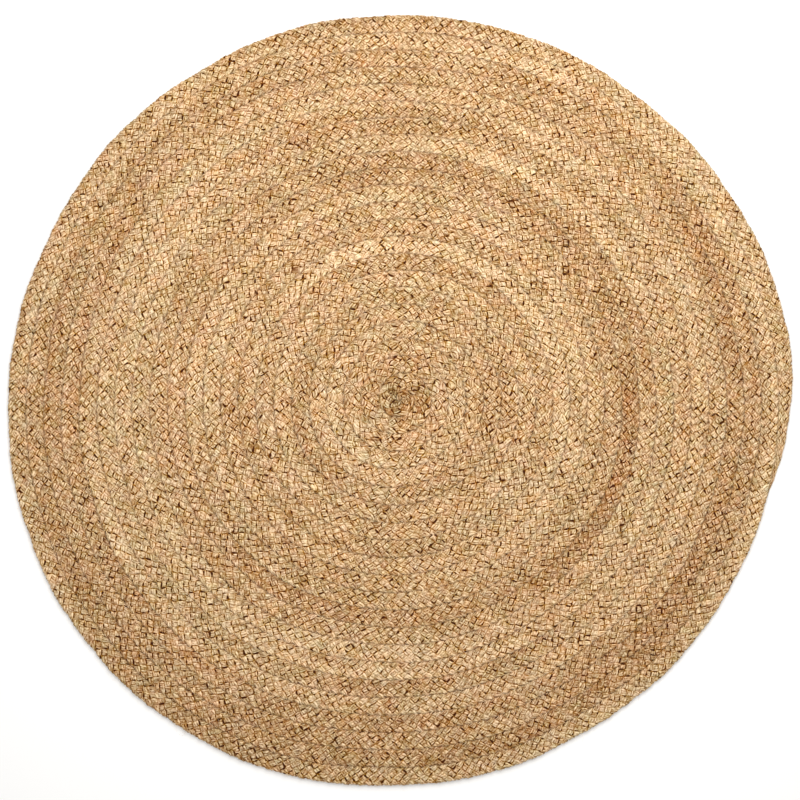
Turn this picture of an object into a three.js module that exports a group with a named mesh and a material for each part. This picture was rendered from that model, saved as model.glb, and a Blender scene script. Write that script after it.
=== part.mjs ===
// Round plaited jute rug: one flat plait wound into a spiral, its turns sewn edge to edge.
// Units are millimetres and +Z is up. The rug lies flat on z = 0, and the middle of its
// bounding box is on the Z axis.

import * as THREE from 'three';

// Driving dimensions.
const RUG_WIDTH = 1200; // rim to rim along X
const THICKNESS = 8; // a plait of strands about 4 mm thick, crossing
const PLAIT_WIDTH = 26.6; // one turn of the spiral, before the rug's outline stretches it
const SEAM_DEPTH = 2.4; // how far the seam between two turns lies below their tops
const TURNS = 21.8; // how often the plait goes round before it tapers into the rim

// The outer end of the plait, seen from above with 0 degrees at +X and counting anticlockwise.
const TAIL_TIP_DEG = 344;
const TAIL_TAPER_DEG = 30; // the stretch over which the end narrows to nothing

// The plait's flat top spans this share of its width on each side of its middle.
const TOP_SHARE = 0.26;

// The rim bulges at half height and draws in above and below it.
const RIM_TOP_INSET = 1.6;
const RIM_UNDER_INSET = 2.2;

// The worker's hand leaves the rug a little out of round: each wave stretches every turn by
// its share of the radius.
const OUT_OF_ROUND = [
  { lobes: 1, cosine: -0.0132, sine: -0.0188 },
  { lobes: 2, cosine: 0.0048, sine: 0.0053 },
  { lobes: 3, cosine: 0.0042, sine: -0.0031 },
];

const STEPS_PER_TURN = 60;
const STEP_ANGLE = (2 * Math.PI) / STEPS_PER_TURN;
const LAST_STEP = Math.round(TURNS * STEPS_PER_TURN);
const TAPER_STEPS = (TAIL_TAPER_DEG / 360) * STEPS_PER_TURN;
const SEAM_HEIGHT = THICKNESS - SEAM_DEPTH;

// The direction, from the spiral's middle, of a step along the plait. The plait runs outwards
// clockwise, seen from above.
function angleOfStep(step) {
  return THREE.MathUtils.degToRad(TAIL_TIP_DEG) + (LAST_STEP - step) * STEP_ANGLE;
}

// How much wider than a true circle the rug is in one direction.
function stretchAt(angle) {
  let stretch = 1;
  for (const wave of OUT_OF_ROUND) {
    stretch += wave.cosine * Math.cos(wave.lobes * angle);
    stretch += wave.sine * Math.sin(wave.lobes * angle);
  }
  return stretch;
}

// The plait's share of its full width at a step: 1 as far as the tail, which eases down to 0.
function widthShare(step) {
  const left = Math.max(0, (LAST_STEP - step) / TAPER_STEPS);
  return left >= 1 ? 1 : Math.sin((left * Math.PI) / 2);
}

// Distance of the plait's inner edge from the middle, before the outline stretches it.
function innerEdge(step) {
  return (PLAIT_WIDTH * step) / STEPS_PER_TURN;
}

// A place on the plait: share is 0 at its inner edge and 1 at its outer edge.
function across(step, share, inset = 0) {
  const angle = angleOfStep(step);
  const plain = innerEdge(step) + share * widthShare(step) * PLAIT_WIDTH;
  const radius = plain * stretchAt(angle) - inset;
  return new THREE.Vector2(radius * Math.cos(angle), radius * Math.sin(angle));
}

// The rim's steps are those of the last whole turn.
function rimSteps() {
  const steps = [];
  for (let step = LAST_STEP - STEPS_PER_TURN; step < LAST_STEP; step += 1) {
    steps.push(step);
  }
  return steps;
}

// Scale and shift that give the rug its width and put its box's middle on the Z axis.
function placing() {
  const box = new THREE.Box2();
  for (const step of rimSteps()) {
    box.expandByPoint(across(step, 1));
  }
  const size = box.getSize(new THREE.Vector2());
  const middle = box.getCenter(new THREE.Vector2());
  return { scale: RUG_WIDTH / size.x, middle };
}

const PLACING = placing();

// Collects the rug's corners and faces, and gives them back as a geometry.
class Shell {
  constructor() {
    this.places = [];
    this.faces = [];
  }

  // Adds a corner at a place in the plane and a height, and returns its number.
  corner(flat, height) {
    const { scale, middle } = PLACING;
    this.places.push((flat.x - middle.x) * scale, (flat.y - middle.y) * scale, height);
    return this.places.length / 3 - 1;
  }

  // Adds a triangle, or nothing where two of its corners are one.
  triangle(a, b, c) {
    if (a !== b && b !== c && c !== a) {
      this.faces.push(a, b, c);
    }
  }

  // Adds a four-sided face as two triangles.
  quad(a, b, c, d) {
    this.triangle(a, b, c);
    this.triangle(a, c, d);
  }

  geometry() {
    const geometry = new THREE.BufferGeometry();
    geometry.setAttribute('position', new THREE.Float32BufferAttribute(this.places, 3));
    geometry.setIndex(this.faces);
    geometry.computeVertexNormals();
    return geometry;
  }
}

// The seam is one spiral line of corners. Step n of the plait lies between seam corner n, at
// its inner edge, and seam corner n + STEPS_PER_TURN, at its outer edge. The tail narrows to
// nothing, so the line's last corner is the seam corner that the tail ends on.
function addSeam(shell) {
  const seam = [];
  for (let step = 0; step <= LAST_STEP; step += 1) {
    seam.push(shell.corner(across(step, 0), SEAM_HEIGHT));
  }
  for (const step of rimSteps().slice(1)) {
    seam.push(shell.corner(across(step, 1, RIM_TOP_INSET * widthShare(step)), SEAM_HEIGHT));
  }
  seam.push(seam[LAST_STEP]);
  return seam;
}

// The raised top of the plait: a flat band between two lines of corners.
function addPlait(shell, seam) {
  const top = [];
  for (let step = 0; step < LAST_STEP; step += 1) {
    const height = SEAM_HEIGHT + SEAM_DEPTH * Math.sqrt(widthShare(step));
    top.push({
      inner: shell.corner(across(step, 0.5 - TOP_SHARE), height),
      outer: shell.corner(across(step, 0.5 + TOP_SHARE), height),
    });
  }
  top.push({ inner: seam[LAST_STEP], outer: seam[LAST_STEP] });
  for (let step = 0; step < LAST_STEP; step += 1) {
    const here = top[step];
    const next = top[step + 1];
    shell.quad(seam[step], seam[step + 1], next.inner, here.inner);
    shell.quad(here.inner, next.inner, next.outer, here.outer);
    shell.quad(here.outer, next.outer, seam[step + 1 + STEPS_PER_TURN], seam[step + STEPS_PER_TURN]);
  }
  return top;
}

// The eye of the spiral: the start of the plait, tucked in under its first turn.
function addEye(shell, seam, top) {
  for (let step = 1; step < STEPS_PER_TURN; step += 1) {
    shell.triangle(seam[0], seam[step + 1], seam[step]);
  }
  shell.triangle(seam[0], top[0].inner, top[0].outer);
  shell.triangle(seam[0], top[0].outer, seam[STEPS_PER_TURN]);
}

// The rim, from the outermost seam corners round the bulge and under to the flat underside.
function addRimAndUnderside(shell, seam) {
  const middle = shell.corner(new THREE.Vector2(0, 0), 0);
  const ring = rimSteps().map((step) => ({
    upper: seam[step + STEPS_PER_TURN],
    bulge: shell.corner(across(step, 1), THICKNESS / 2),
    under: shell.corner(across(step, 1, RIM_UNDER_INSET), 0),
  }));
  ring.forEach((here, place) => {
    const next = ring[(place + 1) % ring.length];
    shell.quad(here.upper, next.upper, next.bulge, here.bulge);
    shell.quad(here.bulge, next.bulge, next.under, here.under);
    shell.triangle(here.under, next.under, middle);
  });
}

function plaitedRugGeometry() {
  const shell = new Shell();
  const seam = addSeam(shell);
  const top = addPlait(shell, seam);
  addEye(shell, seam, top);
  addRimAndUnderside(shell, seam);
  return shell.geometry();
}

const jute = new THREE.MeshStandardMaterial({
  name: 'jute',
  color: 0xcdab7c,
  roughness: 0.95,
  metalness: 0,
});

const plaitedRug = new THREE.Mesh(plaitedRugGeometry(), jute);
plaitedRug.name = 'plaited_rug';

const rug = new THREE.Group();
rug.add(plaitedRug);

export default rug;
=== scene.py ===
"""Round plaited jute rug.

One flat plait of five jute strands, wound outwards clockwise into a spiral and sewn edge to
edge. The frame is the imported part's own: metres, +Z up, the rug lying on z = 0 with the middle
of its box on the Z axis.
"""

import logging
import math
from dataclasses import dataclass
from enum import Enum
from functools import cached_property
from itertools import pairwise

import bpy
import numpy as np
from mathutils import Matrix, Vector
from mathutils.geometry import delaunay_2d_cdt


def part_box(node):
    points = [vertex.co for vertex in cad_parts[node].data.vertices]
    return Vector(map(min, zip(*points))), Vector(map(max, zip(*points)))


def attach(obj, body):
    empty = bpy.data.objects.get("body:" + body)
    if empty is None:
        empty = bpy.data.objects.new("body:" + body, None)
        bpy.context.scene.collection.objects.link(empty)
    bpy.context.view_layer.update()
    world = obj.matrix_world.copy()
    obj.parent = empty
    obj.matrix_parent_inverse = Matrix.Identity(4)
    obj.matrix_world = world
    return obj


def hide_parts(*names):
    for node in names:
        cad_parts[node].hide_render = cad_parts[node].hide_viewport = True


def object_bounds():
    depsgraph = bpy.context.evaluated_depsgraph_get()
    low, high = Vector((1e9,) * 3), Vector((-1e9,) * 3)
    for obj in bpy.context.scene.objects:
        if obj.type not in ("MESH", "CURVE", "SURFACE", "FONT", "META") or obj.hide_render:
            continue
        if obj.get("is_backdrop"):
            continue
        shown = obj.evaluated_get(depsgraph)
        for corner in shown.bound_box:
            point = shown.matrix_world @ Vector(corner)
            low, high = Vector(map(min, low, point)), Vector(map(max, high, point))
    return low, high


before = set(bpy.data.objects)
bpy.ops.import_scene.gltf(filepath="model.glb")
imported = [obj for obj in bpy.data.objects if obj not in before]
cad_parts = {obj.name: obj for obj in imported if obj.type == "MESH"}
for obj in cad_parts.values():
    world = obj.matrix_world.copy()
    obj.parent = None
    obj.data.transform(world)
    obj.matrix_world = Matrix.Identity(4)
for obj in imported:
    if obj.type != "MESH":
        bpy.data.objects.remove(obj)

LOG = logging.getLogger("jute_rug")
MM = 0.001
CAD_NODE = "plaited_rug"
TURN = 2 * math.pi
SAMPLES = 1000  # places worked out in each turn
SPARE_VALUES = 4  # random values past the end of a line


def linear(hex_colour: str) -> tuple[float, float, float, float]:
    """Turns an sRGB hex colour into the linear colour that a shader takes.

    Args:
        hex_colour: Six hex digits after a hash, such as "#c9ab7c".

    Returns:
        Red, green, blue and an alpha of 1.
    """
    parts = [int(hex_colour[i : i + 2], 16) / 255 for i in (1, 3, 5)]
    bent = [c / 12.92 if c <= 0.04045 else ((c + 0.055) / 1.055) ** 2.4 for c in parts]
    return (*bent, 1.0)


def add_node(
    tree: bpy.types.NodeTree,
    kind: str,
    settings: dict[str | int, object] | None = None,
    links: dict[str | int, bpy.types.NodeSocket] | None = None,
) -> bpy.types.Node:
    """Adds a shader node with its settings and links.

    Args:
        tree: The material's node tree.
        kind: The node's type name.
        settings: Values by name, for the node's properties and its unlinked inputs. "colours"
            sets a colour ramp from sRGB colours at even distances.
        links: Output sockets by the name or number of the input that each feeds.

    Returns:
        The new node.
    """
    node = tree.nodes.new(kind)
    for name, value in (settings or {}).items():
        if name == "colours":
            stops = node.color_ramp.elements
            while len(stops) < len(value):
                stops.new(1.0)
            for number, (stop, colour) in enumerate(zip(stops, value, strict=True)):
                stop.position = number / (len(value) - 1)
                stop.color = linear(colour)
        elif isinstance(name, int) or name in node.inputs:
            node.inputs[name].default_value = value
        else:
            setattr(node, name, value)
    for name, socket in (links or {}).items():
        tree.links.new(socket, node.inputs[name])
    return node


class SmoothNoise:
    """Random values that change smoothly along a line, the same on every run."""

    def __init__(self, seed: int, spacing: float, length: float, rows: int = 1) -> None:
        """Draws the values.

        Args:
            seed: Starts the random numbers.
            spacing: Distance between two drawn values.
            length: How far the line runs.
            rows: How many separate lines of values there are.
        """
        self.spacing = spacing
        count = int(length / spacing) + SPARE_VALUES
        self.values = np.random.default_rng(seed).standard_normal((rows, count))

    def at(self, places: np.ndarray, row: np.ndarray | int = 0) -> np.ndarray:
        """Reads the values at places along a line.

        Args:
            places: Distances along the line, from 0.
            row: Which line of values to read, one for all or one for each place.

        Returns:
            One value for each place, mostly from -2 to 2.
        """
        last_pair = self.values.shape[1] - 2
        steps = np.clip(places / self.spacing, 0, last_pair)
        whole = steps.astype(int)
        part = steps - whole
        part = part * part * (3 - 2 * part)  # level at each drawn value
        return self.values[row, whole] * (1 - part) + self.values[row, whole + 1] * part


@dataclass(frozen=True)
class Wave:
    """One way in which the rug is out of round, as shares of its radius."""

    lobes: int
    cosine: float
    sine: float


@dataclass(frozen=True)
class Wobble:
    """A sideways wave of the turns, left by hand sewing, with lengths in metres."""

    length: float
    heading: float
    size: float


@dataclass(frozen=True)
class SpiralLayout:
    """Where the plait runs in the rug's plane.

    half_step is the length of half a repeat of the plait's pattern, turns is how often it goes
    round, and it ends at tip_angle after narrowing over taper_turns. settling is how firmly the
    bumps of one turn lie in the hollows of the next.
    """

    plait_width: float = 26.6 * MM
    half_step: float = 6.5 * MM
    turns: float = 21.8
    tip_angle: float = math.radians(344)
    taper_turns: float = 1 / 12
    settling: float = 1.25
    waves: tuple[Wave, ...] = (
        Wave(1, -0.0132, -0.0188),
        Wave(2, 0.0048, 0.0053),
        Wave(3, 0.0042, -0.0031),
    )
    wobbles: tuple[Wobble, ...] = (
        Wobble(0.31, 0.4, 1.2 * MM),
        Wobble(0.19, 2.1, 0.9 * MM),
        Wobble(0.12, 3.9, 0.7 * MM),
        Wobble(0.07, 5.2, 0.4 * MM),
        Wobble(0.031, 1.2, 0.35 * MM),
        Wobble(0.023, 2.9, 0.35 * MM),
        Wobble(0.017, 0.1, 0.3 * MM),
    )

    def stretch(self, angle: np.ndarray) -> np.ndarray:
        """How much wider than a circle the rug is in each direction.

        Args:
            angle: Directions from the middle.

        Returns:
            One share for each direction, 1 on the circle.
        """
        total = np.ones_like(angle)
        for wave in self.waves:
            total += wave.cosine * np.cos(wave.lobes * angle)
            total += wave.sine * np.sin(wave.lobes * angle)
        return total

    def even_steps(self, turns: np.ndarray) -> np.ndarray:
        """Steps along an evenly made plait.

        Args:
            turns: Turns out from the middle, from -1, where the plait starts from a point, through
                0, where it has its full width.

        Returns:
            Half repeats of the plait's pattern, counted from the first full-width place.
        """
        rate = math.pi * self.plait_width / self.half_step
        outer = rate * (turns * turns + turns)
        inner = rate / 2 * ((turns + 1) ** 2 - 1)
        return np.where(turns > 0, outer, inner)

    @cached_property
    def course(self) -> tuple[np.ndarray, np.ndarray]:
        """Turns and steps along the plait as it lies.

        Each turn settles with its edge bumps in the hollows of the turn inside it. The turn has
        more bumps than the inner one, so it slips by one now and then.
        """
        past_the_tip = 0.5
        turns = np.arange(-SAMPLES, (self.turns + past_the_tip) * SAMPLES) / SAMPLES
        steps = self.even_steps(turns)
        for first in range(2 * SAMPLES, len(turns), SAMPLES):
            here = slice(first, min(first + SAMPLES, len(turns)))
            inner = steps[here.start - SAMPLES : here.stop - SAMPLES]
            ahead = steps[here] - inner
            hold = self.settling * np.clip(turns[here] - 1, 0, 1)
            steps[here] = inner + ahead - hold * np.sin(math.pi * ahead) / math.pi
        return turns, np.maximum.accumulate(steps)

    def turns_at(self, step: np.ndarray) -> np.ndarray:
        """How many turns out from the middle the plait has come at each step."""
        turns, steps = self.course
        return np.interp(step, steps, turns)

    def ends(self) -> tuple[int, int]:
        """The half repeats at which the plait starts, in the middle, and ends, on the rim."""
        return int(self.course[1][0]), int(np.interp(self.turns, *self.course))

    def width_share(self, turns: np.ndarray) -> np.ndarray:
        """The plait's share of its width: 1, then down to 0 over the tail at the rim."""
        left = np.clip((self.turns - turns) / self.taper_turns, 0, 1)
        return np.sin(left * math.pi / 2)

    def flat(self, step: np.ndarray, across: np.ndarray) -> tuple[np.ndarray, np.ndarray]:
        """Lays places on the plait out in the plane, before the rug is put in its frame.

        Args:
            step: Half repeats along the plait.
            across: Distance from the plait's middle line, outwards.

        Returns:
            X and Y.
        """
        turns = self.turns_at(step)
        inner = self.plait_width * np.maximum(turns, 0)
        full = self.plait_width * (turns + 1) - inner
        share = across / self.plait_width + 0.5
        plain = inner + full * self.width_share(turns) * share
        angle = self.tip_angle + (self.turns - turns) * TURN
        radius = np.maximum(plain, 0) * self.stretch(angle)
        return radius * np.cos(angle), radius * np.sin(angle)


class Placement:
    """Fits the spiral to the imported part's box."""

    def __init__(self, layout: SpiralLayout, low: Vector, high: Vector) -> None:
        """Measures the spiral's outline and compares it with the box.

        Args:
            layout: The spiral.
            low: The box's lowest corner.
            high: The box's highest corner.
        """
        self.layout = layout
        _, last = layout.ends()
        once_round = int(TURN * layout.turns * layout.plait_width / layout.half_step)
        steps = np.linspace(last - once_round, last, 2 * SAMPLES)
        x, y = layout.flat(steps, np.full(steps.shape, layout.plait_width / 2))
        self.scale = (high.x - low.x) / (x.max() - x.min())
        self.middle = ((x.max() + x.min()) / 2, (y.max() + y.min()) / 2)
        self.thickness = high.z - low.z
        self.floor = low.z

    def place(self, step: np.ndarray, across: np.ndarray, height: np.ndarray) -> np.ndarray:
        """Puts places on the plait where they lie in the frame.

        Args:
            step: Half repeats along the plait.
            across: Distance from the plait's middle line, outwards.
            height: Height above the floor.

        Returns:
            One row of x, y and z for each place.
        """
        x, y = self.layout.flat(step, across)
        x = (x - self.middle[0]) * self.scale
        y = (y - self.middle[1]) * self.scale
        moved_x, moved_y = x.copy(), y.copy()
        for number, wobble in enumerate(self.layout.wobbles):
            along = x * math.cos(wobble.heading) + y * math.sin(wobble.heading)
            wave = wobble.size * np.sin(TURN * along / wobble.length + number)
            moved_x -= wave * math.sin(wobble.heading)
            moved_y += wave * math.cos(wobble.heading)
        thinned = np.sqrt(self.layout.width_share(self.layout.turns_at(step)))
        return np.stack([moved_x, moved_y, self.floor + height * thinned], axis=1)


class Lean(Enum):
    """Which way a strand crosses the skin as it runs along the plait."""

    ONWARD = 1
    BACK = -1


class Face(Enum):
    """Which side of the plait a row of cells lies on."""

    TOP = "top"
    EDGE = "edge"
    UNDER = "under"


@dataclass(frozen=True)
class CellRow:
    """One of the ten rows of cells round the plait: four on top, one on each edge, four under."""

    place: int
    lean: Lean
    face: Face


CELL_ROWS = (
    CellRow(0, Lean.ONWARD, Face.EDGE),
    CellRow(1, Lean.ONWARD, Face.TOP),
    CellRow(2, Lean.BACK, Face.TOP),
    CellRow(3, Lean.ONWARD, Face.TOP),
    CellRow(4, Lean.BACK, Face.TOP),
    CellRow(5, Lean.BACK, Face.EDGE),
    CellRow(6, Lean.BACK, Face.UNDER),
    CellRow(7, Lean.ONWARD, Face.UNDER),
    CellRow(8, Lean.BACK, Face.UNDER),
    CellRow(9, Lean.ONWARD, Face.UNDER),
)
ROWS = len(CELL_ROWS)
TOP_ROWS = 4
STRANDS = 5
YARNS = 3  # in each strand
YARN_GROOVES = (-1 / 3, 1 / 3)
EDGE_PARTS = 3  # pieces that each side of a cell is divided into
NEAR = 0.01  # corners closer than this in a cell's square are on the same line
NO_SLIVERS = 1e-6  # corners closer than this would be joined
SPARE_STEPS = 3  # before the plait's first cell and after its last
STRAND_OFFSET = 0.37  # keeps the fibre pattern of one strand apart from the next's
KEY_FLOOR = -10000  # keeps the shared corners' keys above 0
MAP_MARGIN = 0.04  # of a cell's square left as margin on each side in the OFBake map


class CellPattern:
    """The corners and triangles of one cell, in its own square from -1 to 1.

    The first coordinate runs along the strand and the second across it. Corners on the square's
    sides come first, because neighbours share them.
    """

    def __init__(self, along: tuple[float, ...], across: tuple[float, ...]) -> None:
        """Lays out the corners and joins them up.

        Args:
            along: Places along the strand of the inner corners.
            across: Places across the strand of the inner corners.
        """
        ticks = [2 * i / EDGE_PARTS - 1 for i in range(EDGE_PARTS)]
        sides = [(t, -1.0) for t in ticks] + [(1.0, t) for t in ticks]
        sides += [(-t, 1.0) for t in ticks] + [(-1.0, -t) for t in ticks]
        inner = [(a, b) for a in along for b in across]
        self.shared = len(sides)
        self.corners = np.array(sides + inner)
        self.creases = self.yarn_lines()
        points = [Vector(c) for c in self.corners]
        found = delaunay_2d_cdt(points, [tuple(c) for c in self.creases], [], 0, NO_SLIVERS)
        self.triangles = np.array([list(face) for face in found[2]])
        self.centres = self.corners[self.triangles].mean(axis=1)

    def chain(self, wanted: np.ndarray, axis: int) -> list[tuple[int, int]]:
        """Pairs of the wanted corners, in order along an axis."""
        line = np.flatnonzero(wanted)
        return list(pairwise(line[np.argsort(self.corners[line, axis])].tolist()))

    def yarn_lines(self) -> list[tuple[int, int]]:
        """Pairs of corners that follow the grooves between the strand's yarns."""
        chains = [self.chain(np.abs(self.corners[:, 1] - g) < NEAR, 0) for g in YARN_GROOVES]
        return [pair for chain in chains if len(chain) > 1 for pair in chain]

    def side(self, axis: int, sign: int) -> list[tuple[int, int]]:
        """Pairs of corners along a side, where axis 0 ends the strand and 1 lies beside it."""
        return self.chain(np.abs(self.corners[:, axis] - sign) < NEAR, 1 - axis)


PATTERNS = {
    Face.TOP: CellPattern((-0.5, 0.0, 0.5), (-2 / 3, -1 / 3, 0.0, 1 / 3, 2 / 3)),
    Face.EDGE: CellPattern((-0.4, 0.4), (-0.5, 0.5)),
    Face.UNDER: CellPattern((0.0,), (-0.55, 0.0, 0.55)),
}


@dataclass(frozen=True)
class WeaveShape:
    """The relief of the plait's skin, with its heights and widths in metres.

    column_gap is the width of a row of cells on top. A bend is the two powers of a strand's
    rounding: the higher the first and the lower the second, the flatter its crown. The values for
    the gaps between strands leave the relief alone: they set how wide and how dark the painted
    shade between two strands is, as a share of the strand, 1 where strands lie well apart.
    """

    core_height: float = 1.5 * MM
    column_gap: float = 6.6 * MM
    edge_reach: float = 1.9 * MM
    strand_relief: float = 2.5 * MM
    edge_relief: float = 2.9 * MM
    yarn_groove: float = 0.42 * MM
    side_bend: tuple[float, float] = (3, 0.6)
    end_bend: tuple[float, float] = (2.5, 0.8)
    side_swell: float = 0.20
    corner_jitter: float = 0.07
    crest_drop: float = 0.22
    # The next three set only painted shade in the joins between turns and on the rim.
    seam_start: float = 0.15
    seam_stop: float = 1.10
    rim_shade: float = 0.6
    wide_gaps: float = 0.028
    wide_gap: float = 2.2
    gap_power: float = 2.1
    gap_slant: float = 2.4
    gap_ends: float = 0.95
    gap_taper: int = 4
    gap_reach: int = 8
    fibre_turn: float = math.radians(9)
    seed: int = 7

    def section(self, around: np.ndarray) -> tuple[np.ndarray, ...]:
        """The plait's plain cross-section, under the strands' relief.

        Args:
            around: Row coordinate round the plait, where 1 to 4 is the top, 5 the outer edge,
                6 to 9 the underside and 10 the inner edge.

        Returns:
            Distance across, height from the middle, and the two parts of the outward normal.
        """
        place = np.mod(around - 1, ROWS) + 1
        reach = (TOP_ROWS - 1) / 2 * self.column_gap
        marks = [1, TOP_ROWS, TOP_ROWS + 2, ROWS - 1, ROWS + 1]
        straight = np.interp(place, marks, [-reach, reach, reach, -reach, -reach])
        tilt = np.interp(place, marks, [0, 0, math.pi, math.pi, TURN])
        out, up = np.sin(tilt), np.cos(tilt)
        return straight + self.edge_reach * out, self.core_height * up, out, up

    @staticmethod
    def rounded(places: np.ndarray, bend: tuple[float, float]) -> np.ndarray:
        """How high a strand stands, from 1 in its middle to 0 at its borders, -1 and 1."""
        return np.maximum(1 - np.abs(places) ** bend[0], 0) ** bend[1]


STRETCH_FADE = 0.12  # turns over which one lot of jute gives way to the next


@dataclass(frozen=True)
class Stretch:
    """A run of the plait, in turns, of a darker, lighter, redder or greyer lot of jute."""

    start: float
    stop: float
    tone: float
    hue: float

    def share(self, turns: np.ndarray) -> np.ndarray:
        """How far each place belongs to the run, fading out at its ends."""
        inside = np.minimum(turns - self.start, self.stop - turns) / STRETCH_FADE
        return np.clip(inside + 0.5, 0, 1)


STRETCHES = (
    Stretch(-1.5, 0.45, -0.3, -0.2),
    Stretch(-1.5, 0.85, -0.7, -0.5),
    Stretch(0.85, 1.5, -0.8, 0.0),
    Stretch(1.5, 2.9, -0.7, 0.0),
    Stretch(2.9, 4.4, -0.5, 0.0),
    Stretch(8.1, 8.9, 0.4, 0.0),
    Stretch(9.6, 11.6, 0.4, -0.1),
    Stretch(11.7, 12.9, -0.8, 0.3),
    Stretch(13.3, 13.7, -0.6, 0.2),
    Stretch(13.8, 15.9, 0.3, -0.1),
    Stretch(17.8, 18.9, -0.4, 0.2),
    Stretch(19.2, 20.2, -0.7, 0.3),
    Stretch(20.6, 23.0, 0.2, -0.4),
)


@dataclass(frozen=True)
class Stain:
    """A small dark, brown or olive place in the fibre, in metres."""

    x: float
    y: float
    size: float
    tone: float
    hue: float

    def share(self, x: np.ndarray, y: np.ndarray) -> np.ndarray:
        """How far each place belongs to the stain."""
        return np.exp(-((x - self.x) ** 2 + (y - self.y) ** 2) / self.size**2)


STAINS = tuple(
    Stain(x * MM, y * MM, size * MM, tone, hue)
    for x, y, size, tone, hue in (
        (-11, 15, 8, -5.0, -3.0),
        (-9, -2, 6, -2.5, -2.0),
        (-8, -16, 6, -3.0, -0.8),
        (25, 25, 9, -1.0, 1.2),
        (14, 5, 9, -2.0, 1.5),
        (32, -4, 4, -3.0, 0.0),
        (29, -16, 4, -3.0, 0.0),
        (-57, -65, 5, -3.0, 0.0),
        (-75, 76, 5, -3.0, 0.0),
        (-17, -468, 9, -2.4, 2.4),
    )
)


class Across(Enum):
    """What a drift of colour tells apart, with how many of it there are."""

    PLAIT = 1
    STRAND = STRANDS
    ROW = ROWS
    YARN = STRANDS * YARNS


@dataclass(frozen=True)
class Drift:
    """A slow change of colour along the plait.

    seed starts its random numbers, steps is how many half repeats it takes, and tone and hue are
    how far it changes the lightness and the redness.
    """

    seed: int
    steps: float
    across: Across
    tone: float
    hue: float


DRIFTS = (
    Drift(11, 18, Across.STRAND, 0.32, 0.0),
    Drift(12, 70, Across.PLAIT, 0.45, -0.081),
    Drift(18, 9, Across.PLAIT, 0.18, 0.0),
    # Lighter and darker streaks along each cell row: painted light and shade, for rows tilted a
    # little towards or away from the light.
    Drift(19, 60, Across.ROW, 0.34, 0.0),
    Drift(13, 5, Across.YARN, 0.55, 0.0),
    Drift(14, 10, Across.STRAND, 0.0, 0.32),
    Drift(15, 16, Across.PLAIT, 0.0, 0.15),
    Drift(20, 30, Across.ROW, 0.0, 0.24),
    Drift(17, 6, Across.YARN, 0.0, 0.20),
)


@dataclass(frozen=True)
class CellFaces:
    """Where the faces of a row of cells are, in arrays that fit one another.

    step counts from the start of the plait, strand and yarn are numbers, row is the cell row's
    place, turns is how far out the cell is, and x and y are in metres.
    """

    step: np.ndarray
    strand: np.ndarray
    yarn: np.ndarray
    row: np.ndarray
    turns: np.ndarray
    x: np.ndarray
    y: np.ndarray


@dataclass(frozen=True)
class StrandColours:
    """How the jute's colour changes from strand to strand, along each strand and by yarn.

    length is the number of half repeats in the whole plait. Each cell also has a colour of its
    own, from a t distribution, whose few degrees of freedom set some cells far apart from the rest.
    """

    length: float
    cell_seed: int = 16
    cell_freedom: int = 4
    cell_tone: float = 0.21
    cell_hue: float = 0.135
    spare_steps: int = 40

    @cached_property
    def cells(self) -> np.ndarray:
        """Tone and hue of each single cell."""
        shape = (int(self.length) + self.spare_steps, ROWS, 2)
        return np.random.default_rng(self.cell_seed).standard_t(self.cell_freedom, shape)

    @cached_property
    def noises(self) -> list[SmoothNoise]:
        """The random values of each drift."""
        return [SmoothNoise(d.seed, d.steps, self.length, d.across.value) for d in DRIFTS]

    def shades(self, faces: CellFaces) -> tuple[np.ndarray, np.ndarray]:
        """Lightness and redness of each face, each with a spread of about 1.

        Args:
            faces: Where the faces are.

        Returns:
            Two values for each face.
        """
        lines = {
            Across.PLAIT: (0,),
            Across.STRAND: (faces.strand,),
            Across.ROW: (faces.row, (faces.row + 1) % ROWS),
            Across.YARN: (faces.strand * YARNS + faces.yarn,),
        }
        causes = [
            (drift, noise.at(faces.step, line))
            for drift, noise in zip(DRIFTS, self.noises, strict=True)
            for line in lines[drift.across]
        ]
        causes += [(stretch, stretch.share(faces.turns)) for stretch in STRETCHES]
        causes += [(stain, stain.share(faces.x, faces.y)) for stain in STAINS]
        own = self.cells[faces.step.astype(int), faces.row]
        tone = sum(cause.tone * share for cause, share in causes if cause.tone)
        hue = sum(cause.hue * share for cause, share in causes if cause.hue)
        return tone + self.cell_tone * own[..., 0], hue + self.cell_hue * own[..., 1]


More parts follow.
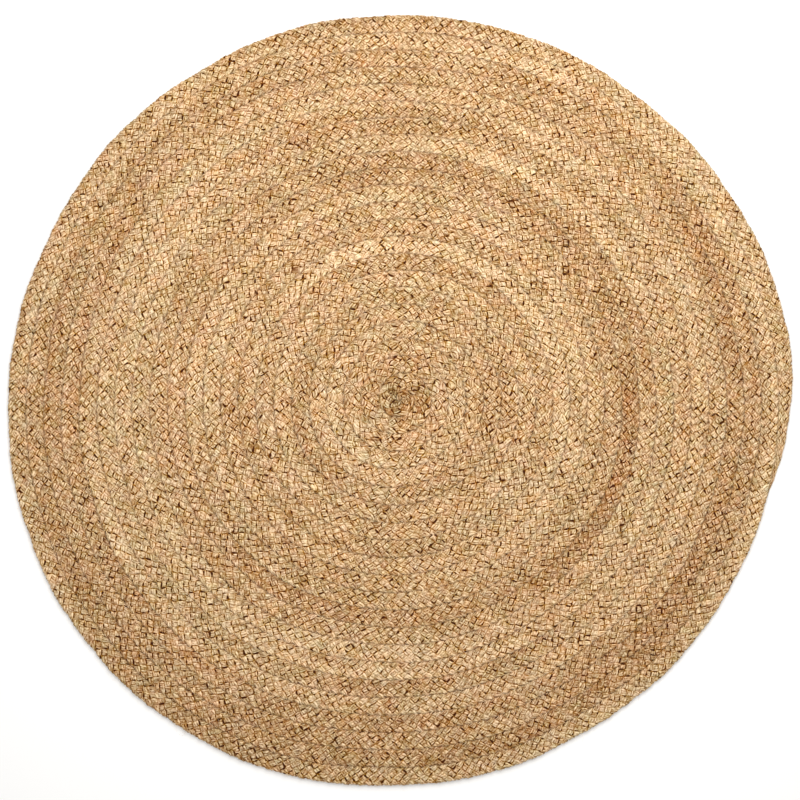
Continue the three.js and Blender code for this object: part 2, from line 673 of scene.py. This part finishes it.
class PlaitSkin:
    """Builds lengths of the woven skin of the plait."""

    def __init__(self, placement: Placement, shape: WeaveShape) -> None:
        """Draws the unevenness of the whole plait, so that its lengths meet.

        Args:
            placement: Where the plait lies.
            shape: The size of its relief.
        """
        self.placement = placement
        self.shape = shape
        self.first, self.last = placement.layout.ends()
        count = self.last - self.first + 2 * (SPARE_STEPS + 1)
        self.colours = StrandColours(count)
        random = np.random.default_rng(shape.seed)
        self.jitter = random.uniform(-1, 1, (count, ROWS, 2)) * shape.corner_jitter
        self.crest = -random.uniform(0, 1, (count, ROWS)) * shape.crest_drop
        # Painted shade in the gaps between strands: mostly faint, a few wide and dark, each
        # slanting along its side.
        wide = random.uniform(0, 1, (count, ROWS)) < shape.wide_gaps
        narrow = random.uniform(0, 1, (count, ROWS)) ** shape.gap_power
        self.gap = np.where(wide, shape.wide_gap, narrow)
        self.gap_slant = random.uniform(-1, 1, (count, ROWS)) * shape.gap_slant

    def counted(self, cells: np.ndarray) -> np.ndarray:
        """The cells' steps counted from the first of the values that were drawn."""
        return cells - self.first + SPARE_STEPS

    def strands(self, cells: np.ndarray, row: CellRow) -> np.ndarray:
        """Numbers of the strands that a row's cells belong to, the same all along a strand."""
        return np.mod((cells - row.lean.value * row.place) // 2, STRANDS)

    def shifts(self, cells: np.ndarray, row: CellRow) -> np.ndarray:
        """How far each corner is out of its even place.

        Args:
            cells: The cells' steps.
            row: The row that they are in.

        Returns:
            Half repeats along and rows round, blended between each cell's four corners.
        """
        near, lean = self.counted(cells), row.lean.value
        a, b = PATTERNS[row.face].corners.T
        drawn = (
            (near - 1, row.place, (1 - a) * (1 - b) / 4),
            (near + 1, row.place, (1 + a) * (1 + b) / 4),
            (near, (row.place + 1) % ROWS, (1 + lean * a) * (1 - lean * b) / 4),
            (near, (row.place - 1) % ROWS, (1 - lean * a) * (1 + lean * b) / 4),
        )
        return sum(self.jitter[step, place][:, None] * w[:, None] for step, place, w in drawn)

    def gaps(self, cells: np.ndarray, row: CellRow) -> np.ndarray:
        """Painted shade in the gaps round each cell: how wide and how dark it is at each corner.

        Each side of a cell has painted shade of its own, shared with the neighbour and fading out
        at its ends.

        Args:
            cells: The cells' steps.
            row: The row that they are in.

        Returns:
            One value for each cell and each corner.
        """
        shape, near = self.shape, self.counted(cells)
        a, b = PATTERNS[row.face].corners.T
        lines = (row.place, (row.place - 1) % ROWS)
        ahead, behind = lines if row.lean is Lean.ONWARD else lines[::-1]
        found = np.zeros((len(cells), len(a)))
        for place, line, toward, beside in (
            (near, ahead, a, b),
            (near - 1, behind, -a, b),
            (near, behind, b, a),
            (near - 1, ahead, -b, a),
        ):
            ending = shape.gap_ends * beside**shape.gap_taper
            share = ((1 + toward) / 2) ** shape.gap_reach * (1 - ending)
            slanted = 1 + self.gap_slant[place, line][:, None] * beside
            found = np.maximum(found, self.gap[place, line][:, None] * share * slanted)
        return found

    def painted_seam_shade(self, normal_out: np.ndarray, step: np.ndarray) -> np.ndarray:
        """Painted shade where the skin is hidden from the light in the join between two turns.

        Args:
            normal_out: How far the skin faces sideways, from -1 to 1.
            step: Steps along the plait.

        Returns:
            0 in the open, up to 1 deep in the join. The rug's own rim gets less, as painted contact
            shade.
        """
        shape = self.shape
        sunk = (np.abs(normal_out) - shape.seam_start) / (shape.seam_stop - shape.seam_start)
        buried = np.clip(sunk, 0, 1)
        turns = self.placement.layout.turns_at(step)
        rim = (turns > self.placement.layout.turns - 1) & (normal_out > 0)
        return np.where(rim, buried * shape.rim_shade, buried)

    def yarn_places(self, cells: np.ndarray, row: CellRow) -> np.ndarray:
        """Where each corner lies on its own strand, so that the fibres follow the twist.

        Args:
            cells: The cells' steps.
            row: The row that they are in.

        Returns:
            For each corner, metres along and across the strand and a third value that tells the
            strands apart.
        """
        size = math.hypot(self.placement.layout.half_step, self.shape.column_gap)
        cos, sin = math.cos(self.shape.fibre_turn) / 2, math.sin(self.shape.fibre_turn) / 2
        a, b = PATTERNS[row.face].corners.T
        along = (cells[:, None] + a * cos + b * sin) * size
        across = np.broadcast_to((b * cos - a * sin) * size, along.shape)
        apart = np.broadcast_to(self.strands(cells, row)[:, None] * STRAND_OFFSET, along.shape)
        return np.stack([along, across, apart], axis=2).reshape(-1, 3)

    def row_mesh(self, row: CellRow, start: int, stop: int) -> dict[str, np.ndarray]:
        """Builds one row's cells.

        A cell's square stands on its corner in the skin. Where its strand meets one that leans the
        other way, it dives under it at its own ends and lies over it with its sides.

        Args:
            row: The row.
            start: The first step.
            stop: The step after the last.

        Returns:
            Arrays of corners, their keys and depths, and of faces and their colours.
        """
        shape, pattern, layout = self.shape, PATTERNS[row.face], self.placement.layout
        cells = np.arange(start + (start + row.place) % 2, stop, 2)
        a, b = pattern.corners.T
        lean = row.lean.value
        dives_ahead, dives_behind = (
            CELL_ROWS[(row.place + side) % ROWS].lean is not row.lean for side in (lean, -lean)
        )
        dives = np.where(a > 0, dives_ahead, dives_behind)
        swells = np.where(b < 0, dives_ahead, dives_behind)
        b_swollen = b + shape.side_swell * (1 - a * a) * b * swells
        a_shrunk = a - shape.side_swell * (1 - b * b) * a * dives
        jitter = self.shifts(cells, row)
        step = cells[:, None] + (a_shrunk + b_swollen) / 2 + jitter[:, :, 0]
        turn = row.place + lean * (a_shrunk - b_swollen) / 2 + jitter[:, :, 1]
        height = shape.rounded(b, shape.side_bend)
        height = height * np.where(dives, shape.rounded(a, shape.end_bend), 1.0)
        crest = self.crest[self.counted(cells), row.place]
        swell = height * (1 + crest[:, None] * (1 - a * a))
        out, up, normal_out, normal_up = shape.section(turn)
        flatness = normal_up**2
        relief = shape.edge_relief + (shape.strand_relief - shape.edge_relief) * flatness
        on_groove = (np.abs(np.abs(b) - YARN_GROOVES[1]) < NEAR) & (np.abs(a) < 1 - NEAR)
        lift = relief * swell - shape.yarn_groove * on_groove * (row.face is Face.TOP)
        above = np.maximum(self.placement.thickness / 2 + up + lift * normal_up, 0)
        reach = out + lift * normal_out
        places = self.placement.place(step.ravel(), reach.ravel(), above.ravel())
        yarn = np.clip((pattern.centres[:, 1] + 1) * YARNS / 2, 0, YARNS - 1).astype(int)
        middle = places.reshape(*step.shape, 3).mean(axis=1)
        strand, turns = self.strands(cells, row)[:, None], layout.turns_at(cells)[:, None]
        number, x, y = self.counted(cells)[:, None], middle[:, :1], middle[:, 1:2]
        by_face = np.broadcast_arrays(number, strand, yarn[None], row.place, turns, x, y)
        tone, hue = self.colours.shades(CellFaces(*by_face))
        key_step = np.rint(EDGE_PARTS * (cells[:, None] + (a + b) / 2)).astype(np.int64)
        key_turn = np.rint(EDGE_PARTS * (row.place + lean * (a - b) / 2)).astype(np.int64)
        once_round = ROWS * EDGE_PARTS
        creases = pattern.creases + pattern.side(1, 1) + pattern.side(1, -1)
        creases += pattern.side(0, 1) if dives_ahead else []
        creases += pattern.side(0, -1) if dives_behind else []
        base = np.arange(len(cells))[:, None, None] * len(a)
        triangles = pattern.triangles if lean < 0 else pattern.triangles[:, ::-1]
        return {
            "places": places,
            "keys": (key_step * once_round + np.mod(key_turn, once_round)).ravel(),
            "shared": np.tile(np.arange(len(a)) < pattern.shared, len(cells)),
            "depth": np.tile(height, len(cells)),
            # painted shade in the joins between turns
            "seam": self.painted_seam_shade(normal_out, step).ravel(),
            # painted shade in the gaps round each cell
            "gap": self.gaps(cells, row).ravel(),
            "yarn": self.yarn_places(cells, row),
            "square": np.tile(pattern.corners, (len(cells), 1)),
            "faces": (base + triangles[None]).reshape(-1, 3),
            "creases": (base + np.array(creases)[None]).reshape(-1, 2),
            "tone": tone.ravel(),
            "hue": hue.ravel(),
            "cell": np.repeat(np.arange(len(cells)), len(triangles)),
        }

    def build(self, name: str, start: int, stop: int) -> bpy.types.Object:
        """Builds one length of the plait as an object.

        Args:
            name: The object's name.
            start: The first step.
            stop: The step after the last.

        Returns:
            The object, with what its finish reads as attributes.
        """
        rows = [self.row_mesh(row, start, stop) for row in CELL_ROWS]
        moved, cells = 0, 0
        for row in rows:
            row["faces"] = row["faces"] + moved
            row["creases"] = row["creases"] + moved
            row["cell"] = row["cell"] + cells
            moved += len(row["places"])
            cells = row["cell"][-1] + 1
        whole = {key: np.concatenate([row[key] for row in rows]) for key in rows[0]}
        own_key = -1 - np.arange(moved)
        keys = np.where(whole["shared"], whole["keys"] - KEY_FLOOR, own_key)
        _, kept, merged = np.unique(keys, return_index=True, return_inverse=True)
        corners = whole["faces"]
        mesh = bpy.data.meshes.new(name)
        mesh.vertices.add(len(kept))
        mesh.vertices.foreach_set("co", whole["places"][kept].astype(np.float32).ravel())
        mesh.loops.add(corners.size)
        mesh.loops.foreach_set("vertex_index", merged[corners].astype(np.int32).ravel())
        mesh.polygons.add(len(corners))
        mesh.polygons.foreach_set("loop_start", np.arange(0, corners.size, 3, dtype=np.int32))
        mesh.update(calc_edges=True)
        self.crease(mesh, np.sort(merged[whole["creases"]], axis=1))
        for key in ("depth", "gap", "seam"):
            made = mesh.attributes.new(key, "FLOAT", "POINT")
            made.data.foreach_set("value", whole[key][kept].astype(np.float32))
        for key in ("tone", "hue"):
            made = mesh.attributes.new(key, "FLOAT", "FACE")
            made.data.foreach_set("value", whole[key].astype(np.float32))
        made = mesh.attributes.new("yarn", "FLOAT_VECTOR", "CORNER")
        made.data.foreach_set("vector", whole["yarn"][corners].astype(np.float32).ravel())
        self.lay_out(mesh, whole["square"][corners], whole["cell"], cells)
        piece = bpy.data.objects.new(name, mesh)
        bpy.context.scene.collection.objects.link(piece)
        return piece

    @staticmethod
    def crease(mesh: bpy.types.Mesh, wanted: np.ndarray) -> None:
        """Marks edges as sharp, so that the light breaks at them.

        Args:
            mesh: The mesh.
            wanted: Pairs of its vertices, the lower number first.
        """
        ends = np.empty(len(mesh.edges) * 2, dtype=np.int32)
        mesh.edges.foreach_get("vertices", ends)
        ends = np.sort(ends.reshape(-1, 2), axis=1).astype(np.int64)
        size = len(mesh.vertices)
        sharp = np.isin(ends[:, 0] * size + ends[:, 1], wanted[:, 0] * size + wanted[:, 1])
        made = mesh.attributes.new("sharp_edge", "BOOLEAN", "EDGE")
        made.data.foreach_set("value", sharp)

    @staticmethod
    def lay_out(mesh: bpy.types.Mesh, square: np.ndarray, cell: np.ndarray, cells: int) -> None:
        """Gives each cell its own square in the OFBake map.

        Args:
            mesh: The mesh.
            square: Each face corner's place in its cell.
            cell: Each face's cell.
            cells: How many there are.
        """
        across = math.ceil(math.sqrt(cells))
        corner = np.stack([cell % across, cell // across], axis=1)[:, None]
        inside = (square + 1) / 2 * (1 - 2 * MAP_MARGIN) + MAP_MARGIN
        uvs = mesh.uv_layers.new(name="OFBake")
        uvs.data.foreach_set("uv", ((corner + inside) / across).astype(np.float32).ravel())


@dataclass(frozen=True)
class Grain:
    """One size of unevenness in the fibre, in metres along and across the yarn."""

    length: float
    width: float
    weight: float


@dataclass(frozen=True)
class Cloud:
    """One size of patch, in metres, that runs over many strands."""

    size: float
    weight: float
    hue: float


@dataclass(frozen=True)
class JuteFinish:
    """Natural jute fibre, retted, dried, spun into yarn and plaited, neither dyed nor coated.

    The loose bast fibres give a dry, matt straw colour that goes from grey olive to pinkish
    brown, with fine light streaks along each yarn. Light and shade are also painted in: shade
    in the gaps between the strands and in the joins between turns, and light and shade across
    the yarns of each strand.
    One fibre is about 0.02 mm thick, too fine to show, so the streaks are drawn 2 mm wide, as
    hanks of fibre, and 9 mm long, as far as a strand lies on top.

    straw and russet are two lots of jute, from dark to light. start is the plain fibre's place
    between those ends, and each weight is how far its cause moves it.
    """

    # The darkest stops are reached mostly in the painted shade of the gaps.
    straw: tuple[str, ...] = ("#401c00", "#694006", "#93733c", "#bfa87b", "#e8d0a2", "#fbe3b6")
    russet: tuple[str, ...] = ("#4a1600", "#793300", "#a6652f", "#d2986c", "#f6c296", "#ffd9b0")
    start: float = 0.575
    tone_weight: float = 0.050
    hue_weight: float = 0.12
    # painted light and shade across the yarns
    yarn_shade_weight: float = 0.075
    # painted shade in the joins between turns, weaker on the rim
    seam_shade_weight: float = -0.11
    # The next four set the painted shade in the gaps between strands.
    gap_shade_width: float = 0.28
    gap_shade_spread: float = 0.95
    gap_shade_weight: float = -0.095
    uneven_gap_shade_weight: float = -0.88
    redness: float = 0.34
    bleaching: float = 13 * MM
    bleach_weight: float = 0.35
    # extra saturation in the painted shade of the gaps
    gap_shade_richness: float = 1.7
    richness: float = 0.94
    grains: tuple[Grain, ...] = (
        Grain(9 * MM, 2.0 * MM, 1.0),
        Grain(3.2 * MM, 2.2 * MM, 0.70),
        Grain(1.8 * MM, 1.5 * MM, 0.38),
    )
    clouds: tuple[Cloud, ...] = (
        Cloud(19 * MM, 0.05, 0.55),
        Cloud(10 * MM, 0.05, 0.50),
    )
    roughness: float = 0.9
    specular: float = 0.2
    bump_strength: float = 0.7
    bump_height: float = 0.35 * MM

    def build(self) -> bpy.types.Material:
        """Makes the material.

        Returns:
            The material, which reads the plait's attributes.
        """
        material = bpy.data.materials.new("natural_jute_fibre")
        material.use_nodes = True
        tree = material.node_tree
        tree.nodes.clear()
        values = dict.fromkeys(("tone", "hue", "depth", "gap", "seam"), "Fac")
        tone, hue, depth, gap, seam, yarn = (
            add_node(tree, "ShaderNodeAttribute", {"attribute_name": name}).outputs[output]
            for name, output in (values | {"yarn": "Vector"}).items()
        )
        place = add_node(tree, "ShaderNodeNewGeometry").outputs["Position"]
        lightness, redness = [(tone, self.tone_weight)], [(hue, self.hue_weight)]
        for grain in self.grains:
            noise = self.noise(tree, yarn, grain.length, grain.width)
            lightness.append((noise, grain.weight))
        coarsest = lightness[1][0]
        for cloud in self.clouds:
            noise = self.noise(tree, place, cloud.size, cloud.size)
            lightness.append((noise, cloud.weight))
            redness.append((noise, cloud.hue))
        # Painted light on each yarn's crown and painted shade in the grooves between yarns.
        lightness.append((self.painted_yarn_shading(tree, yarn), self.yarn_shade_weight))
        # Painted shade in the gaps between strands: full where a strand meets its neighbour, fading
        # as it rises, darker where the gaps open wider.
        closed = self.total(tree, [(gap, self.gap_shade_spread)], self.gap_shade_width)
        gap_shade_band = add_node(
            tree,
            "ShaderNodeMapRange",
            {"To Min": 1.0, "To Max": 0.0, "interpolation_type": "SMOOTHSTEP"},
            {"Value": depth, "From Max": closed},
        ).outputs[0]
        both = {0: gap_shade_band, 1: gap}
        uneven_gap_shade = add_node(tree, "ShaderNodeMath", {"operation": "MULTIPLY"}, both).outputs[0]
        lightness += [
            (seam, self.seam_shade_weight),
            (gap_shade_band, self.gap_shade_weight),
            (uneven_gap_shade, self.uneven_gap_shade_weight),
        ]
        light = self.total(tree, lightness, self.start)
        red = self.total(tree, redness, self.redness)
        colours = [
            add_node(tree, "ShaderNodeValToRGB", {"colours": lot}, {"Fac": light}).outputs["Color"]
            for lot in (self.straw, self.russet)
        ]
        lots = {0: red, 6: colours[0], 7: colours[1]}  # the mix node's factor and two colours
        colour = add_node(tree, "ShaderNodeMix", {"data_type": "RGBA"}, lots).outputs[2]
        bleached = self.noise(tree, place, self.bleaching, self.bleaching)
        # The painted shade in the gaps is also made more saturated.
        richness = [(bleached, self.bleach_weight), (uneven_gap_shade, self.gap_shade_richness)]
        enriched = {"Saturation": self.total(tree, richness, self.richness), "Color": colour}
        colour = add_node(tree, "ShaderNodeHueSaturation", links=enriched).outputs[0]
        bump = add_node(
            tree,
            "ShaderNodeBump",
            {"Strength": self.bump_strength, "Distance": self.bump_height},
            {"Height": coarsest},
        ).outputs["Normal"]
        surface = add_node(
            tree,
            "ShaderNodeBsdfPrincipled",
            {"Roughness": self.roughness, "Specular IOR Level": self.specular},
            {"Base Color": colour, "Normal": bump},
        ).outputs["BSDF"]
        add_node(tree, "ShaderNodeOutputMaterial", links={"Surface": surface})
        return material

    @staticmethod
    def noise(
        tree: bpy.types.NodeTree, where: bpy.types.NodeSocket, length: float, width: float
    ) -> bpy.types.NodeSocket:
        """Noise around 0 that is length long and width wide.

        Args:
            tree: The material's node tree.
            where: Socket with a place, in metres.
            length: Size along the first axis.
            width: Size along the others.

        Returns:
            The socket with the noise, mostly from -0.25 to 0.25.
        """
        scaled = add_node(
            tree,
            "ShaderNodeVectorMath",
            {"operation": "MULTIPLY", 1: (1 / length, 1 / width, 1 / width)},
            {0: where},
        ).outputs[0]
        coarse = {"Scale": 1.0, "Detail": 1.0}
        grey = add_node(tree, "ShaderNodeTexNoise", coarse, {"Vector": scaled}).outputs["Fac"]
        return add_node(tree, "ShaderNodeMath", {"operation": "ADD", 1: -0.5}, {0: grey}).outputs[0]

    @staticmethod
    def painted_yarn_shading(tree: bpy.types.NodeTree, yarn: bpy.types.NodeSocket) -> bpy.types.NodeSocket:
        """Painted light and shade across the strand, for the rounding of its yarns.

        Args:
            tree: The material's node tree.
            yarn: Socket with a place along and across the strand, in metres.

        Returns:
            The socket with the wave, 1 on the crown of each yarn, for painted light, and -1 between
            two, for painted shade.
        """
        width = math.hypot(SpiralLayout.half_step, WeaveShape.column_gap) / YARNS
        across = add_node(tree, "ShaderNodeSeparateXYZ", links={0: yarn}).outputs["Y"]
        scaling = {"operation": "MULTIPLY", 1: TURN / width}
        turned = add_node(tree, "ShaderNodeMath", scaling, {0: across}).outputs[0]
        return add_node(tree, "ShaderNodeMath", {"operation": "COSINE"}, {0: turned}).outputs[0]

    @staticmethod
    def total(
        tree: bpy.types.NodeTree,
        layers: list[tuple[bpy.types.NodeSocket, float]],
        start: float,
    ) -> bpy.types.NodeSocket:
        """Adds up sockets, each times its weight, from a starting value.

        Args:
            tree: The material's node tree.
            layers: The sockets and their weights.
            start: What the sum starts from.

        Returns:
            The socket with the sum.
        """
        value = None
        for socket, weight in layers:
            settings = {"operation": "MULTIPLY_ADD", 1: weight, 2: start}
            links = {0: socket} if value is None else {0: socket, 2: value}
            value = add_node(tree, "ShaderNodeMath", settings, links).outputs[0]
        return value


@dataclass(frozen=True)
class Studio:
    """A pale floor, one broad soft light, a pale surround and the camera straight above."""

    floor_size: float = 12.0
    floor_drop: float = 0.2 * MM
    floor_colour: str = "#fbfaf8"
    floor_roughness: float = 0.9
    surround_colour: str = "#ffffff"
    surround_strength: float = 0.72
    light_place: tuple[float, float, float] = (0.1, 0.5, 1.15)
    light_size: float = 1.2
    light_power: float = 15.75
    lens: float = 85.0
    sensor: float = 36.0
    seen: float = 1.2245
    camera_offset: float = 0.8 * MM

    def build(self, top: float) -> None:
        """Makes the floor, the lights and the camera.

        Args:
            top: Height of the rug's top, where the frame is `seen` wide.
        """
        scene = bpy.context.scene
        scene.view_settings.view_transform = "Standard"
        half = self.floor_size / 2
        mesh = bpy.data.meshes.new("studio_floor")
        corners = [(-half, -half), (half, -half), (half, half), (-half, half)]
        mesh.from_pydata([(x, y, -self.floor_drop) for x, y in corners], [], [(0, 1, 2, 3)])
        floor = bpy.data.objects.new("studio_floor", mesh)
        scene.collection.objects.link(floor)
        material = bpy.data.materials.new("matt_white_board")
        material.use_nodes = True
        board = material.node_tree.nodes["Principled BSDF"]
        board.inputs["Base Color"].default_value = linear(self.floor_colour)
        board.inputs["Roughness"].default_value = self.floor_roughness
        mesh.materials.append(material)
        floor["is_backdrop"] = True
        world = bpy.data.worlds.new("pale_surround")
        world.use_nodes = True
        sky = world.node_tree.nodes["Background"]
        sky.inputs["Color"].default_value = linear(self.surround_colour)
        sky.inputs["Strength"].default_value = self.surround_strength
        scene.world = world
        lamp = bpy.data.lights.new("soft_box", "AREA")
        lamp.size = self.light_size
        lamp.energy = self.light_power
        light = bpy.data.objects.new("soft_box", lamp)
        light.location = self.light_place
        light.rotation_euler = (-Vector(self.light_place)).to_track_quat("-Z", "Y").to_euler()
        scene.collection.objects.link(light)
        camera = bpy.data.objects.new("camera", bpy.data.cameras.new("camera"))
        camera.data.lens = self.lens
        camera.data.sensor_width = self.sensor
        distance = self.seen * self.lens / self.sensor
        camera.location = (0, self.camera_offset, top + distance)
        scene.collection.objects.link(camera)
        scene.camera = camera


@dataclass(frozen=True)
class LooseFibres:
    """Short ends of jute fibre that stand out of the strands.

    The first on_rim of them lie along the rim, over the last rim_run steps of the plait. bend is
    the spread of their curl, in radians, and tone and hue are each a mean and a spread.
    """

    count: int = 2600
    on_rim: int = 50
    rim_run: int = 560
    rim_place: float = 0.55
    rim_height: float = 0.7
    clear_start: int = 8
    clear_end: int = 40
    length: tuple[float, float] = (5 * MM, 16 * MM)
    rise: tuple[float, float] = (-0.5 * MM, 1.5 * MM)
    droop: float = 0.6 * MM
    bend: float = 1.6
    thickness: float = 0.28 * MM
    taper: float = 0.6
    parts: int = 4
    sides: int = 3
    tone: tuple[float, float] = (1.5, 1.6)
    hue: tuple[float, float] = (-0.4, 0.8)
    seed: int = 23

    def build(self, skin: PlaitSkin) -> bpy.types.Object:
        """Scatters the fibres over the top of the rug.

        Args:
            skin: The plait that they stand out of.

        Returns:
            The object.
        """
        random = np.random.default_rng(self.seed)
        placement, width = skin.placement, skin.placement.layout.plait_width
        end = skin.last - self.clear_end
        steps = random.uniform(skin.first + self.clear_start, end, self.count)
        across = random.uniform(-0.5, 0.5, self.count) * width
        above = np.full(self.count, placement.thickness)
        steps[: self.on_rim] = random.uniform(skin.last - self.rim_run, end, self.on_rim)
        across[: self.on_rim] = width * self.rim_place
        above[: self.on_rim] *= self.rim_height
        start = placement.place(steps, across, above)
        heading = random.uniform(0, TURN, self.count)
        length = random.uniform(*self.length, self.count)
        bend = random.normal(0, self.bend, self.count)
        rise = random.uniform(*self.rise, self.count)
        corners = []
        for part in np.linspace(0, 1, self.parts + 1):
            way = heading + bend * (part - 0.5)
            cos, sin = np.cos(way), np.sin(way)
            lift = rise * math.sin(math.pi * part) - self.droop * part
            middle = start + np.stack([cos * length * part, sin * length * part, lift], axis=1)
            thick = self.thickness / 2 * (1 - self.taper * part)
            for side in range(self.sides):
                beside = thick * math.cos(TURN * side / self.sides)
                over = np.full(self.count, thick * math.sin(TURN * side / self.sides))
                corners.append(middle + np.stack([-sin * beside, cos * beside, over], axis=1))
        near = np.arange(self.parts * self.sides)
        after = near - near % self.sides + (near + 1) % self.sides
        quads = np.stack([near, after, after + self.sides, near + self.sides], axis=1)
        faces = np.arange(self.count)[:, None, None] * len(corners) + quads
        mesh = bpy.data.meshes.new("loose_fibres")
        places = np.stack(corners, axis=1).reshape(-1, 3)
        mesh.from_pydata(places.tolist(), [], faces.reshape(-1, 4).tolist())
        self.mark(mesh, random, len(corners))
        piece = bpy.data.objects.new("loose_fibres", mesh)
        bpy.context.scene.collection.objects.link(piece)
        return piece

    def mark(self, mesh: bpy.types.Mesh, random: np.random.Generator, corners: int) -> None:
        """Gives the fibres what the jute finish reads.

        Args:
            mesh: The mesh.
            random: Draws each fibre's colour.
            corners: How many corners each fibre has.
        """
        values = {
            "depth": np.ones(self.count),
            "tone": random.normal(*self.tone, self.count),
            "hue": random.normal(*self.hue, self.count),
        }
        for name, value in values.items():
            made = mesh.attributes.new(name, "FLOAT", "POINT")
            made.data.foreach_set("value", np.repeat(value, corners).astype(np.float32))


@dataclass(frozen=True)
class PlaitedRug:
    """The whole rug: one plait, built in lengths, and its loose fibres."""

    lengths: int = 12

    def build(self) -> None:
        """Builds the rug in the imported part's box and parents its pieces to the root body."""
        low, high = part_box(CAD_NODE)
        placement = Placement(SpiralLayout(), low, high)
        skin = PlaitSkin(placement, WeaveShape())
        jute = JuteFinish().build()
        cuts = np.linspace(skin.first, skin.last, self.lengths + 1).astype(int)
        for number, (start, stop) in enumerate(zip(cuts[:-1], cuts[1:], strict=True), 1):
            piece = skin.build(f"plait_length_{number:02d}", int(start), int(stop))
            extra = [LooseFibres().build(skin)] if number == self.lengths else []
            for made in (piece, *extra):
                self.dress(made, jute)

    @staticmethod
    def dress(piece: bpy.types.Object, jute: bpy.types.Material) -> None:
        """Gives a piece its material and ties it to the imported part.

        Args:
            piece: The piece.
            jute: Its material.
        """
        piece.data.materials.append(jute)
        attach(piece, "root")
        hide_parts(CAD_NODE)


def main() -> None:
    """Builds the rug and its studio, with the camera set over the imported part's top."""
    logging.basicConfig(level=logging.INFO, format="%(message)s")
    cad_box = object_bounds()
    PlaitedRug().build()
    Studio().build(cad_box[1].z)


if __name__ == "__main__":
    main()
